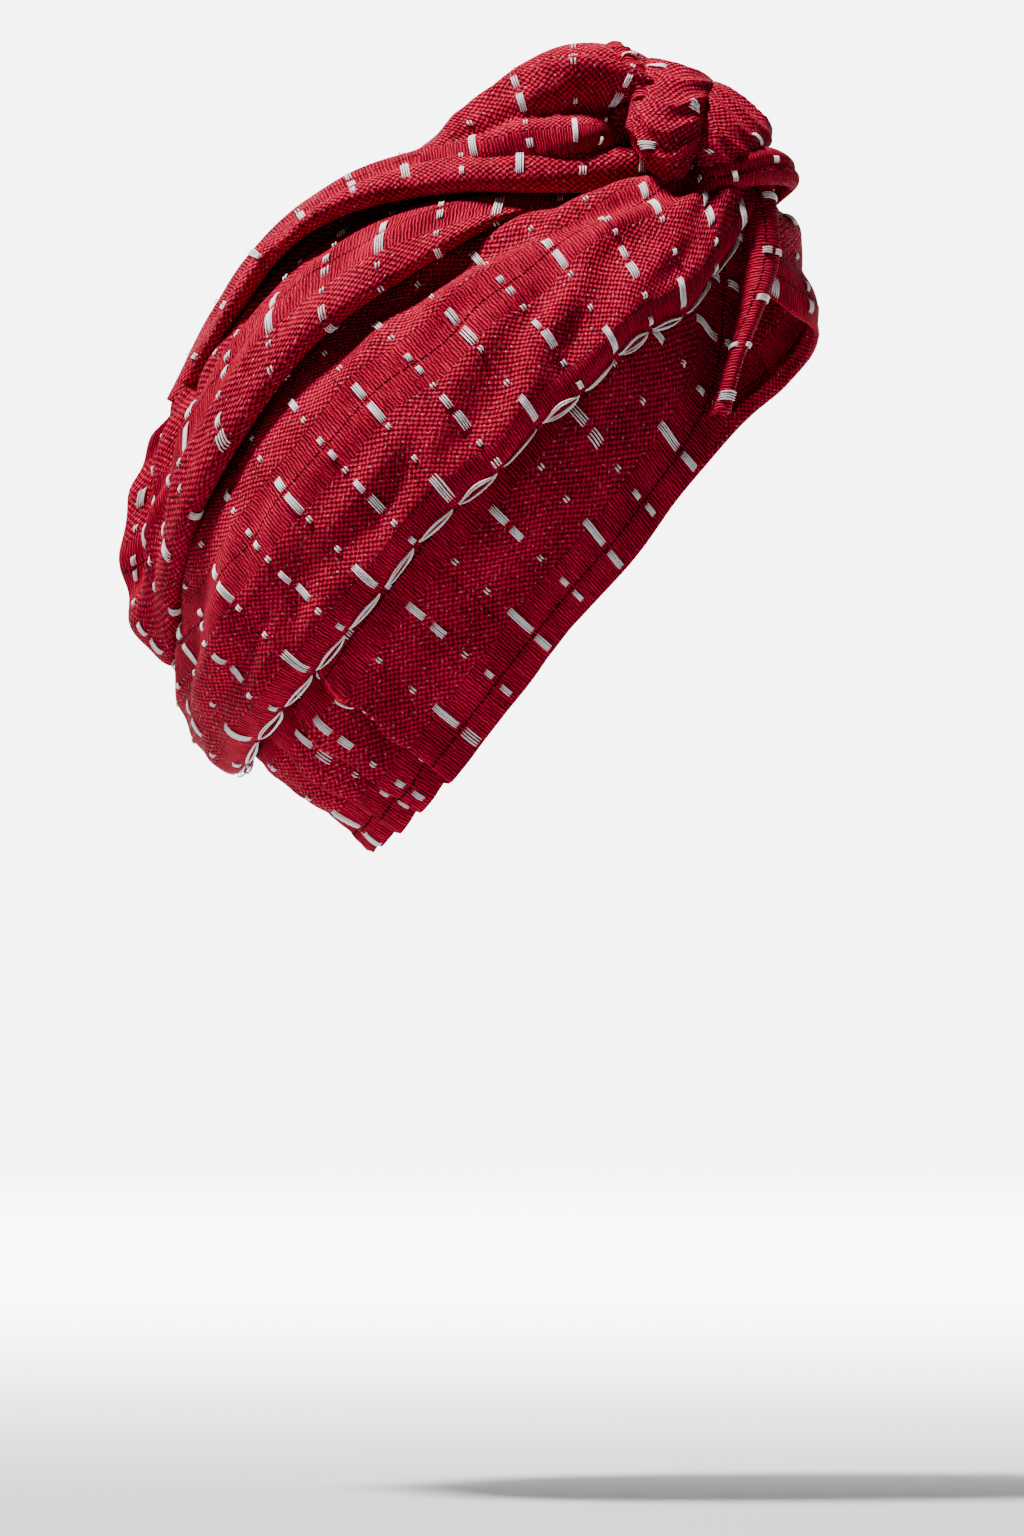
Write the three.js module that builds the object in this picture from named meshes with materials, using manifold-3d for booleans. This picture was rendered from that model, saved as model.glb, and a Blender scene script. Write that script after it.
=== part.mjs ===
// Turban headwrap, worn form: wound cloth layers, a front knot and a gathered nape, held as a head holds it.
// Millimetres, +Z up, the face looks along -Y, the wearer's right side is -X.
// The origin is the centre of the opening that the head goes into.
import * as THREE from "three";
import { mergeVertices } from "three/addons/utils/BufferGeometryUtils.js";
import Module from "manifold-3d";

const wasm = await Module();
wasm.setup();

const CLOTH = 2.0; // thickness of every wall of cloth
const GAP = 0.35; // clearance left where one layer passes another
const LEFT_EASE = 0.97; // the left half of a layer is a little slimmer than the right one
const ROLL_SEGMENTS = 2; // facets round the turned-under edge of a fold
const CROWN_SEGMENTS = 7; // facets over the crown of a fold
const MOST_ROLL = 0.25; // a turned edge's radius is never more than this share of the fold's width
const MOST_TUCK = 0.3; // nor is the strip tucked under it

// Columns of a layer table, a row for each section. Low is the fold's lower edge and top its upper edge,
// each given as forward, up and side (side is to the wearer's right); crown is how far the cloth stands
// out between them, and roll is the radius its lower edge is turned under with.
const LAYER = ["lowForward", "lowUp", "lowSide", "topForward", "topUp", "topSide", "crown", "roll"];

// The side band, from the knot down the right temple, round the nape and up over the left of the forehead.
const SIDE_BAND = [
  [54, 134, 20, 44, 138, 18, 1, 0],
  [54, 94, 36, 34, 109, 40, 1, 0],
  [45, 57, 56, 14, 93, 61, 2, 0],
  [18, 17, 62, -19, 64, 71, 3, 0],
  [-10, -15, 60, -58, 29, 74, 3, 0],
  [-42, -56, 52, -93, -13, 65, 3, 0],
  [-64, -77, 32, -113, -45, 39, 1, 0],
  [-75, -86, 0, -119, -57, 0, -3, 0],
  [-64, -77, -32, -113, -45, -39, 1, 0],
  [-42, -56, -52, -93, -13, -63, 3, 0],
  [-10, -15, -60, -58, 29, -71, 3, 0],
  [18, 17, -61, -19, 64, -69, 3, 0],
  [50, 58, -58, 16, 94, -60, 5, 0],
  [72, 78, -40, 42, 122, -45, 8, 0],
  [82, 94, -19, 60, 143, -22, 7, 0],
  [74, 101, 2, 60, 146, -2, 5, 0],
  [63, 108, 15, 57, 146, 9, 2, 0],
];

// The lower wrap: the full bag between the float line and the valley above it. Right half, knot to back.
const LOWER_WRAP = [
  [56, 134, 20, 57, 156, 10, 4, 3],
  [37, 104, 52, 24, 151, 26, 10, 3],
  [16, 88, 72, -14, 137, 38, 13, 3],
  [-17, 58, 82, -66, 115, 42, 14, 3],
  [-56, 22, 84, -105, 81, 46, 16, 3],
  [-92, -21, 75, -133, 34, 36, 17, 3],
  [-115, -48, 48, -138, 7, 19, 16, 3],
  [-123, -62, 0, -138, -13, 0, 16, 3],
];

// The middle wrap, between the valley and the dark gap under the upper wrap, gathered to the back pinch.
const MIDDLE_WRAP = [
  [24, 136, 12, 22, 158, 3, 1, 2],
  [4, 136, 20, 0, 157, 4, 2, 3],
  [-27, 136, 42, -22, 150, 6, 2, 3.5],
  [-65, 115, 62, -54, 150, 4, 7, 4.5],
  [-105, 84, 65, -87, 138, 3, 9, 4.5],
  [-139, 34, 54, -106, 124, 3, 12, 4.5],
  [-147, 4, 31, -123, 98, 2, 17, 4],
  [-149, -24, 0, -136, 71, 0, 24, 3],
];

// The upper wrap, over the crown from the knot to the back: its right edge, and how far its middle stands
// over the line between its two edges.
const UPPER = ["edgeForward", "edgeUp", "edgeSide", "crown", "roll"];
const UPPER_WRAP = [
  [28, 148, 24, 18, 3],
  [6, 147, 32, 22, 3.5],
  [-21, 147, 40, 22, 4],
  [-52, 147, 42, 14, 4.5],
  [-86, 140, 42, 8, 4.5],
  [-110, 126, 37, 5, 4.5],
  [-130, 99, 26, 5, 4],
  [-148, 69, 8, 3, 3],
];

function column(names, name) {
  return names.indexOf(name);
}

// Smooth value of every column of a table at a fractional row.
function rowAt(table, position) {
  const last = table.length - 1;
  const start = Math.min(Math.floor(position), last - 1);
  const u = position - start;
  const pick = (i) => table[Math.min(Math.max(i, 0), last)];
  const [a, b, c, d] = [pick(start - 1), pick(start), pick(start + 1), pick(start + 2)];
  return b.map((value, k) => {
    const before = start === 0 ? c[k] - b[k] : (c[k] - a[k]) / 2;
    const after = start === last - 1 ? c[k] - b[k] : (d[k] - b[k]) / 2;
    const rise = c[k] - value;
    const bend = 3 * rise - 2 * before - after;
    const twist = before + after - 2 * rise;
    return value + u * (before + u * (bend + u * twist));
  });
}

function place(forward, up, side) {
  return new THREE.Vector3(-side, -forward, up);
}

// The right half's rows, followed by the same rows on the left.
function roundTheBack(rows) {
  const left = rows.slice(0, -1).reverse().map((row) => {
    const mirrored = [...row];
    mirrored[column(LAYER, "lowSide")] *= -LEFT_EASE;
    mirrored[column(LAYER, "topSide")] *= -LEFT_EASE;
    return mirrored;
  });
  return [...rows, ...left];
}

// Height of the cloth over its chord, as a share of the crown, for a point u of the way up the section.
const CREST_AT = 0.45; // where a wrap stands out most
function wrapProfile(u) {
  const away = u < CREST_AT ? 1 - u / CREST_AT : (u - CREST_AT) / (1 - CREST_AT);
  return Math.sqrt(1 - away ** 2);
}

function flatProfile(u) {
  return 4 * u * (1 - u);
}

function archProfile(u) {
  return Math.sqrt(Math.max(0, 1 - (2 * u - 1) ** 2));
}

// One point of a fold: the row is the section, across runs from the tucked lower return (negative)
// over the crown (0 to 1) and, where the fold is turned under at both edges, into the upper return.
function foldPoint(table, position, across, shape) {
  const step = 0.02;
  const last = table.length - 1;
  const at = (t) => {
    const row = rowAt(table, Math.min(Math.max(t, 0), last));
    return { low: place(...row.slice(0, 3)), top: place(...row.slice(3, 6)), crown: row[6], roll: row[7] };
  };
  const here = at(position);
  const ahead = at(position + step);
  const behind = at(position - step);
  const along = ahead.low.clone().add(ahead.top).sub(behind.low).sub(behind.top);
  const chord = here.top.clone().sub(here.low);
  const out = chord.clone().cross(along).normalize();
  const up = chord.clone().normalize();
  const radius = Math.min(here.roll, chord.length() * MOST_ROLL);
  const tuck = Math.min(shape.tuck, chord.length() * MOST_TUCK);
  const turned = (edge, inward, depth) => {
    const angle = Math.min(depth, 0.5) * Math.PI;
    const reach = radius * (1 - Math.cos(angle)) + Math.max(depth - 0.5, 0) * tuck;
    return edge.clone().addScaledVector(inward, reach).addScaledVector(out, -radius * Math.sin(angle));
  };
  if (across < 0) return turned(here.low, up, -across);
  if (across > 1) return turned(here.top, up.negate(), across - 1);
  const lift = here.crown * shape.profile(across) + (shape.crease?.(position, across) ?? 0);
  return here.low.clone().addScaledVector(chord, across).addScaledVector(out, lift);
}

// A closed wall of cloth over a grid of outer points, thickened inwards.
function sheetMesh(points, thickness, spare = 0) {
  const rows = points.length;
  const columns = points[0].length;
  const normalAt = (i, j) => {
    const near = (a, n) => Math.min(Math.max(a, 0), n - 1);
    const alongRows = points[near(i + 1, rows)][j].clone().sub(points[near(i - 1, rows)][j]);
    const across = points[i][near(j + 1, columns)].clone().sub(points[i][near(j - 1, columns)]);
    return across.cross(alongRows).normalize();
  };
  const grown = points.map((line) => line.map((point) => point.clone()));
  if (spare > 0) {
    for (let j = 0; j < columns; j += 1) {
      const first = points[0][j].clone().sub(points[1][j]).setLength(spare);
      const end = points[rows - 1][j].clone().sub(points[rows - 2][j]).setLength(spare);
      grown[0][j].add(first);
      grown[rows - 1][j].add(end);
    }
    for (let i = 0; i < rows; i += 1) {
      grown[i][0].add(points[i][0].clone().sub(points[i][1]).setLength(spare));
      grown[i][columns - 1].add(points[i][columns - 1].clone().sub(points[i][columns - 2]).setLength(spare));
    }
  }
  const vertices = [];
  for (const [offset] of [[spare], [-thickness - spare]]) {
    for (let i = 0; i < rows; i += 1) {
      for (let j = 0; j < columns; j += 1) {
        vertices.push(...grown[i][j].clone().addScaledVector(normalAt(i, j), offset).toArray());
      }
    }
  }
  const index = [];
  const inner = rows * columns;
  const quad = (a, b, c, d) => index.push(a, b, c, a, c, d);
  for (let i = 0; i < rows - 1; i += 1) {
    for (let j = 0; j < columns - 1; j += 1) {
      const a = i * columns + j;
      quad(a, a + 1, a + columns + 1, a + columns);
      quad(inner + a, inner + a + columns, inner + a + columns + 1, inner + a + 1);
    }
  }
  for (let i = 0; i < rows - 1; i += 1) {
    const a = i * columns;
    const b = a + columns - 1;
    quad(a, a + columns, inner + a + columns, inner + a);
    quad(b, inner + b, inner + b + columns, b + columns);
  }
  for (let j = 0; j < columns - 1; j += 1) {
    const b = (rows - 1) * columns + j;
    quad(j, inner + j, inner + j + 1, j + 1);
    quad(b, b + 1, inner + b + 1, inner + b);
  }
  const geometry = new THREE.BufferGeometry();
  geometry.setAttribute("position", new THREE.Float32BufferAttribute(vertices, 3));
  geometry.setIndex(index);
  return geometry;
}

const MERGE = 1e-3; // vertices nearer than this are one vertex
function solidOf(geometry) {
  const merged = mergeVertices(geometry, MERGE);
  const vertProperties = new Float32Array(merged.attributes.position.array);
  const triVerts = new Uint32Array(merged.index.array);
  return new wasm.Manifold(new wasm.Mesh({ numProp: 3, vertProperties, triVerts }));
}

function geometryOf(solid) {
  const mesh = solid.getMesh();
  const geometry = new THREE.BufferGeometry();
  geometry.setAttribute("position", new THREE.BufferAttribute(new Float32Array(mesh.vertProperties), 3));
  geometry.setIndex(new THREE.BufferAttribute(new Uint32Array(mesh.triVerts), 1));
  return geometry;
}

// The main body of a cut piece, without the crumbs that a cut leaves.
function largestPart(solid) {
  const largest = (one) => one.decompose().reduce((best, part) => (part.volume() > best.volume() ? part : best));
  return largest(solidOf(geometryOf(largest(solid))));
}

function spread(from, to, segments) {
  return Array.from({ length: segments + 1 }, (_, i) => from + ((to - from) * i) / segments);
}

// Where a section is sampled: fold edges closely, the crown evenly.
function acrossStops(shape) {
  const crown = spread(0, 1, shape.crown ?? CROWN_SEGMENTS).map((v) => (shape.even ? v : shape.ease(v)));
  const tucked = spread(1, 0, ROLL_SEGMENTS).slice(0, -1);
  const low = shape.lowRoll ? tucked.map((v) => -v) : [];
  const top = shape.topRoll ? tucked.reverse().map((v) => 1 + v) : [];
  return [...low, ...crown, ...top];
}

const halfCosine = (v) => 0.5 - 0.5 * Math.cos(Math.PI * v);

// The pleats gathered into the nape: each laps the next towards the middle of the back.
const PLEAT = { first: 5.0, pitch: 0.36, depth: 7, middle: 7 };
function napePleats(position, across) {
  const fromMiddle = Math.abs(position - PLEAT.middle);
  const count = (PLEAT.middle - PLEAT.first - fromMiddle) / PLEAT.pitch;
  if (count <= 0) return 0;
  const phase = count - Math.floor(count);
  const fade = Math.min(1, count) * (1 - across) ** 0.35;
  return PLEAT.depth * fade * (phase < 0.75 ? phase / 0.75 : (1 - phase) / 0.25);
}

// The radial folds gathered into the pinch at the middle of the back.
const PINCH = { middle: 7, reach: 2.2, folds: 1.15, depth: 7 };
function pinchFolds(position, across) {
  const away = (position - PINCH.middle) / PINCH.reach;
  if (Math.abs(away) >= 1) return 0;
  const wave = Math.cos(Math.PI * 2 * PINCH.folds * away * PINCH.reach) - 1;
  return PINCH.depth * 0.5 * wave * (1 - away ** 2) * Math.sin(Math.PI * across);
}

const WRAP = { profile: wrapProfile, ease: halfCosine, lowRoll: true, topRoll: false, tuck: 6 };
const BAND = { profile: flatProfile, even: true, lowRoll: false, topRoll: false, tuck: 0, crease: napePleats, crown: 5 };
const ARCH = { profile: archProfile, ease: halfCosine, lowRoll: true, topRoll: true, tuck: 8 };

// The upper wrap's sections as layer rows, from its right edge to its left one.
const upperRows = UPPER_WRAP.map((row) => {
  const [forward, up, side, crown, roll] = UPPER.map((name) => row[column(UPPER, name)]);
  return [forward, up, side, forward, up, -side * LEFT_EASE, crown, roll];
});

// Folds of the front knot and the rolled hem, in the layer table's columns.
const KNOT_HUMP = [
  [21, 153, 14, 18, 158, -20, 14, 3],
  [11, 155, 24, 10, 163, -24, 30, 3.5],
  [1, 158, 33, 1, 168, -28, 33, 4],
  [-16, 157, 36, -16, 167, -29, 28, 4],
  [-39, 153, 35, -39, 160, -27, 19, 3.5],
  [-60, 154, 24, -60, 154, -23, 6, 3],
];
const KNOT_POUCH = [
  [42, 156, -26, 16, 158, -28, 7, 3],
  [45, 175, -16, 15, 183, -18, 7, 3],
  [45, 182, 4, 15, 190, 2, 5, 3],
  [42, 174, 20, 16, 181, 20, 8, 3],
  [40, 163, 28, 13, 167, 27, 11, 3],
  [37, 154, 30, 18, 156, 27, 10, 3],
  [33, 149, 27, 26, 150, 26, 6, 2.5],
];
const KNOT_TWIST = [
  [10, 190, -12, 2, 191, -12, 4, 2],
  [14, 194, 0, 5, 195, -1, 4, 2],
  [19, 190, 11, 10, 188, 10, 5, 2],
  [21, 183, 20, 13, 181, 19, 5, 2],
  [22, 176, 27, 15, 174, 26, 4, 2],
];
const KNOT_LOBE = [
  [59, 150, -22, 46, 156, -26, 6, 2.5],
  [62, 163, -12, 42, 178, -13, 6, 2.5],
  [65, 162, 1, 41, 183, 3, 6, 2.5],
  [60, 156, 14, 40, 175, 20, 6, 2.5],
  [52, 152, 20, 38, 163, 27, 6, 2.5],
  [45, 149, 21, 38, 153, 27, 3, 2.5],
];
const KNOT_TIP = [
  [65, 139, -15, 62, 151, -15, 5, 2.5],
  [73, 146, 0, 69, 157, 0, 4, 2.5],
  [66, 147, 14, 61, 160, 11, 5, 2.5],
  [53, 145, 23, 50, 157, 21, 5, 2.5],
  [41, 143, 28, 38, 152, 27, 3, 2.5],
];
const FRONT_ROLL = [
  [64, 151, 6, 56, 151, 8, 4, 2.5],
  [67, 137, 12, 56, 137, 17, 5, 3],
  [67, 118, 20, 54, 118, 28, 5, 3],
  [62, 103, 32, 53, 103, 38, 5, 3],
  [54, 83, 47, 48, 83, 50, 4, 2.5],
  [49, 64, 56, 42, 64, 60, 3, 2.5],
];

// Every piece, outermost first: a piece gives way to all that lie over it.
const PIECES = [
  { name: "knot_tip", table: KNOT_TIP, stops: spread(0, 4, 9), shape: { ...ARCH, tuck: 3, crown: 4 }, wall: 1.6 },
  { name: "knot_twist", table: KNOT_TWIST, stops: spread(0, 4, 9), shape: { ...ARCH, tuck: 2, crown: 4 }, wall: 1.4 },
  { name: "knot_pouch", table: KNOT_POUCH, stops: spread(0, 6, 10), shape: { ...ARCH, tuck: 5, crown: 6 }, wall: CLOTH },
  { name: "knot_lobe", table: KNOT_LOBE, stops: spread(0, 5, 8), shape: { ...ARCH, tuck: 3, crown: 5 }, wall: 1.6 },
  { name: "knot_hump", table: KNOT_HUMP, stops: spread(0, 5, 8), shape: { ...ARCH, tuck: 3, crown: 6 }, wall: CLOTH },
  { name: "front_roll", table: FRONT_ROLL, stops: spread(0, 5, 9), shape: { ...ARCH, tuck: 2, crown: 4 }, wall: 1.6 },
  { name: "upper_wrap", table: upperRows, stops: spread(0, 7, 12), shape: { ...ARCH, tuck: 3, crown: 8 }, wall: CLOTH },
  {
    name: "middle_wrap",
    table: roundTheBack(MIDDLE_WRAP),
    stops: spread(0, 14, 32),
    shape: { ...WRAP, crease: pinchFolds },
    wall: CLOTH,
  },
  { name: "lower_wrap", table: roundTheBack(LOWER_WRAP), stops: spread(0, 14, 26), shape: WRAP, wall: CLOTH },
  {
    name: "side_band",
    table: SIDE_BAND,
    stops: [...spread(0, 4.8, 9), ...spread(5, 9, 31), ...spread(9.3, 16, 11)],
    shape: BAND,
    wall: CLOTH,
  },
];

const CRIMSON = 0x8f0a26;
const headwrap = new THREE.Group();
headwrap.name = "turban_headwrap";
const above = [];
for (const { name, table, stops, shape, wall } of PIECES) {
  const across = acrossStops(shape);
  const points = stops.map((t) => across.map((v) => foldPoint(table, t, v, shape)));
  let solid = solidOf(sheetMesh(points, wall));
  for (const cover of above) {
    solid = solid.subtract(cover);
  }
  solid = largestPart(solid);
  above.push(solidOf(sheetMesh(points, wall, GAP)), solid);
  const material = new THREE.MeshStandardMaterial({ color: CRIMSON, roughness: 0.9, metalness: 0 });
  const mesh = new THREE.Mesh(geometryOf(solid), material);
  mesh.name = name;
  headwrap.add(mesh);
}

export default headwrap;
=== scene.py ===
"""Turban headwrap in its worn form: wound layers of a crimson cloth with loose white yarn floats.

Every layer is one curved sheet, worked out from a short table of sections, and dressed with a woven
finish, white floats laid on it by their place in the weave, and the stitching of its hem.
Lengths in the tables are millimetres; meshes are built in metres.
"""

import logging
import math
from dataclasses import dataclass
from enum import Enum
from typing import Any, Callable, NamedTuple, Optional, Sequence

import bpy
import numpy as np
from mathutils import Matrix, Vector


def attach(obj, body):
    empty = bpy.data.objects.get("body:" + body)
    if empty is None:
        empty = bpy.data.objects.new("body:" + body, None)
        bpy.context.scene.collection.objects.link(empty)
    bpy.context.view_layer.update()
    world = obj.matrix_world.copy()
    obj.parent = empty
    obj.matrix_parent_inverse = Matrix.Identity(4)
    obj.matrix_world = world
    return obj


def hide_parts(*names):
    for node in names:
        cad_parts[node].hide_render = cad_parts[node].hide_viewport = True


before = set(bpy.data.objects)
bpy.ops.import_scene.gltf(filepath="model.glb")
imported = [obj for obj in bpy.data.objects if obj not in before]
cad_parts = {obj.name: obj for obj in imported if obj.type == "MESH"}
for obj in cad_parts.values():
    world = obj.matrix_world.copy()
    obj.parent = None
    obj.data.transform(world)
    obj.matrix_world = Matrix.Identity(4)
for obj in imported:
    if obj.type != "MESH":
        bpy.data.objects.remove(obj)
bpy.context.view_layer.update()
LOG = logging.getLogger("turban")

MM = 0.001
LEFT_EASE = 0.97
MOST_ROLL = 0.25
MOST_TUCK = 0.3
CREST_AT = 0.45
RIDGE_FADE = 0.35
RIDGE_END = 0.35
RIDGE_INSET = 0.05
RIBS_AT_EDGE = 0.35
RIBS_FADE = 6.0
RIBS_SHARPNESS = 0.8
LAP_SHARPNESS = 3.0

Array = np.ndarray


# --------------------------------------------------------------------------- shader expressions
class Value:
    """A shader socket that arithmetic can be written on; each operation adds its Math node."""

    def __init__(self, paint: "Paint", socket: Any) -> None:
        """Wrap a socket.

        Args:
            paint: The material being built.
            socket: The output socket that holds the value.
        """
        self.paint = paint
        self.socket = socket

    def _math(self, operation: str, *terms: Any) -> "Value":
        """Return the Math node's result for an operation on the given terms."""
        values = {i: term for i, term in enumerate(terms)}
        return self.paint.node("ShaderNodeMath", {"operation": operation}, values)

    def __add__(self, other: Any) -> "Value":
        """Return self + other."""
        return self._math("ADD", self, other)

    def __sub__(self, other: Any) -> "Value":
        """Return self - other."""
        return self._math("SUBTRACT", self, other)

    def __rsub__(self, other: Any) -> "Value":
        """Return other - self."""
        return self._math("SUBTRACT", other, self)

    def __mul__(self, other: Any) -> "Value":
        """Return self * other."""
        return self._math("MULTIPLY", self, other)

    def __truediv__(self, other: Any) -> "Value":
        """Return self / other."""
        return self._math("DIVIDE", self, other)

    def __gt__(self, other: Any) -> "Value":
        """Return 1 where self is over other, and 0 elsewhere."""
        return self._math("GREATER_THAN", self, other)

    def wave(self, pitch: float, start: float = 0.0) -> "Value":
        """Return a cosine of self with the given pitch, from 0 to 1, highest at start."""
        angle = (self - start) * (2 * math.pi / pitch)
        return self._math("COSINE", angle) * 0.5 + 0.5

    def repeat(self, pitch: float) -> "Value":
        """Return how far self is past the last whole pitch, always positive."""
        return self._math("FLOORED_MODULO", self, pitch)

    def cell(self, pitch: float) -> "Value":
        """Return the number of the whole pitch that self is in."""
        return self._math("FLOOR", self / pitch)

    def soft(self, low: float, high: float) -> "Value":
        """Return a smooth step of self, 0 at low and 1 at high."""
        values = {"Value": self, "From Min": low, "From Max": high}
        return self.paint.node("ShaderNodeMapRange", {"interpolation_type": "SMOOTHSTEP"}, values)


class Paint:
    """A material under construction, with one method that makes any node."""

    def __init__(self, name: str) -> None:
        """Start a material that holds only its output.

        Args:
            name: The material's name.
        """
        self.material = bpy.data.materials.new(name)
        self.material.use_nodes = True
        self.tree = self.material.node_tree
        self.tree.nodes.clear()

    def node(self, kind: str, settings: Optional[dict[str, Any]] = None,
             values: Optional[dict[Any, Any]] = None, output: Any = 0) -> Value:
        """Add a node.

        Args:
            kind: The node's type.
            settings: Its own settings, which are set first.
            values: A number, colour or link for each socket, by name or place.
            output: Name or place of the output that is returned.

        Returns:
            The chosen output.
        """
        made = self.tree.nodes.new(kind)
        for name, setting in (settings or {}).items():
            setattr(made, name, setting)
        for name, value in (values or {}).items():
            if isinstance(value, Value):
                self.tree.links.new(value.socket, made.inputs[name])
            else:
                made.inputs[name].default_value = value
        return Value(self, made.outputs[output])

    def mix(self, share: Any, first: Any, second: Any) -> Value:
        """Return a colour between first and second by share."""
        values = {"Factor": share, 6: first, 7: second}
        return self.node("ShaderNodeMix", {"data_type": "RGBA"}, values, output=2)

    def cloth_place(self) -> tuple[Value, Value]:
        """Return the place in the cloth, in millimetres along and across the weave's stripes."""
        uv = self.node("ShaderNodeUVMap", {"uv_map": "weave"})
        split = self.node("ShaderNodeSeparateXYZ", None, {0: uv})
        outputs = split.socket.node.outputs
        return Value(self, outputs[0]) * 1000.0, Value(self, outputs[1]) * 1000.0

    def finish(self, colour: Any, roughness: Any, normal: Optional[Value] = None,
               **constants: float) -> bpy.types.Material:
        """Join the surface shader to the output and return the material."""
        values: dict[str, Any] = {"Base Color": colour, "Roughness": roughness}
        values.update({name.replace("_", " "): value for name, value in constants.items()})
        if normal is not None:
            values["Normal"] = normal
        surface = self.node("ShaderNodeBsdfPrincipled", None, values)
        end = self.tree.nodes.new("ShaderNodeOutputMaterial")
        self.tree.links.new(surface.socket, end.inputs["Surface"])
        return self.material


# --------------------------------------------------------------------------- weave and finishes
@dataclass(frozen=True)
class Weave:
    """Sizes of the weave's pattern, in millimetres along and across its stripes."""

    stripe: float = 52.0
    plain: float = 21.0
    row: float = 21.5
    rib: float = 1.25
    knot_along: float = 2.6
    knot_across: float = 2.2
    speck_along: float = 2.9
    speck_across: float = 3.3
    speck: float = 0.36
    speck_share: float = 0.5
    seam: float = 10.5
    seam_stitch: float = 1.9
    seam_width: float = 0.6
    edge_stitch: float = 2.4
    line_width: float = 0.5
    cross_stitch: float = 3.1
    stripe_blur: float = 1.5
    wander: float = 1.3


WEAVE = Weave()


class Grain(NamedTuple):
    """A noise over the cloth: lumps a millimetre, detail, and how it is stretched along and across."""

    scale: float
    detail: float
    along: float = 1.0
    across: float = 1.0


WANDER = Grain(0.35, 3.0)
STREAK = Grain(1.0, 2.0, 1.3, 0.12)
FUZZ = Grain(1.7, 4.0)
PATCH = Grain(0.05, 2.0)


@dataclass(frozen=True)
class Relief:
    """How far each part of the weave stands out, as shares of the bump's height."""

    rib: float = 0.55
    plain_streak: float = 0.75
    basket: float = 0.85
    basket_chance: float = 0.25
    rough_streak: float = 0.45
    fuzz: float = 0.35
    seam: float = 1.1
    edge: float = 0.48
    cross: float = 0.35
    speck: float = 0.6


RELIEF = Relief()


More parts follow.
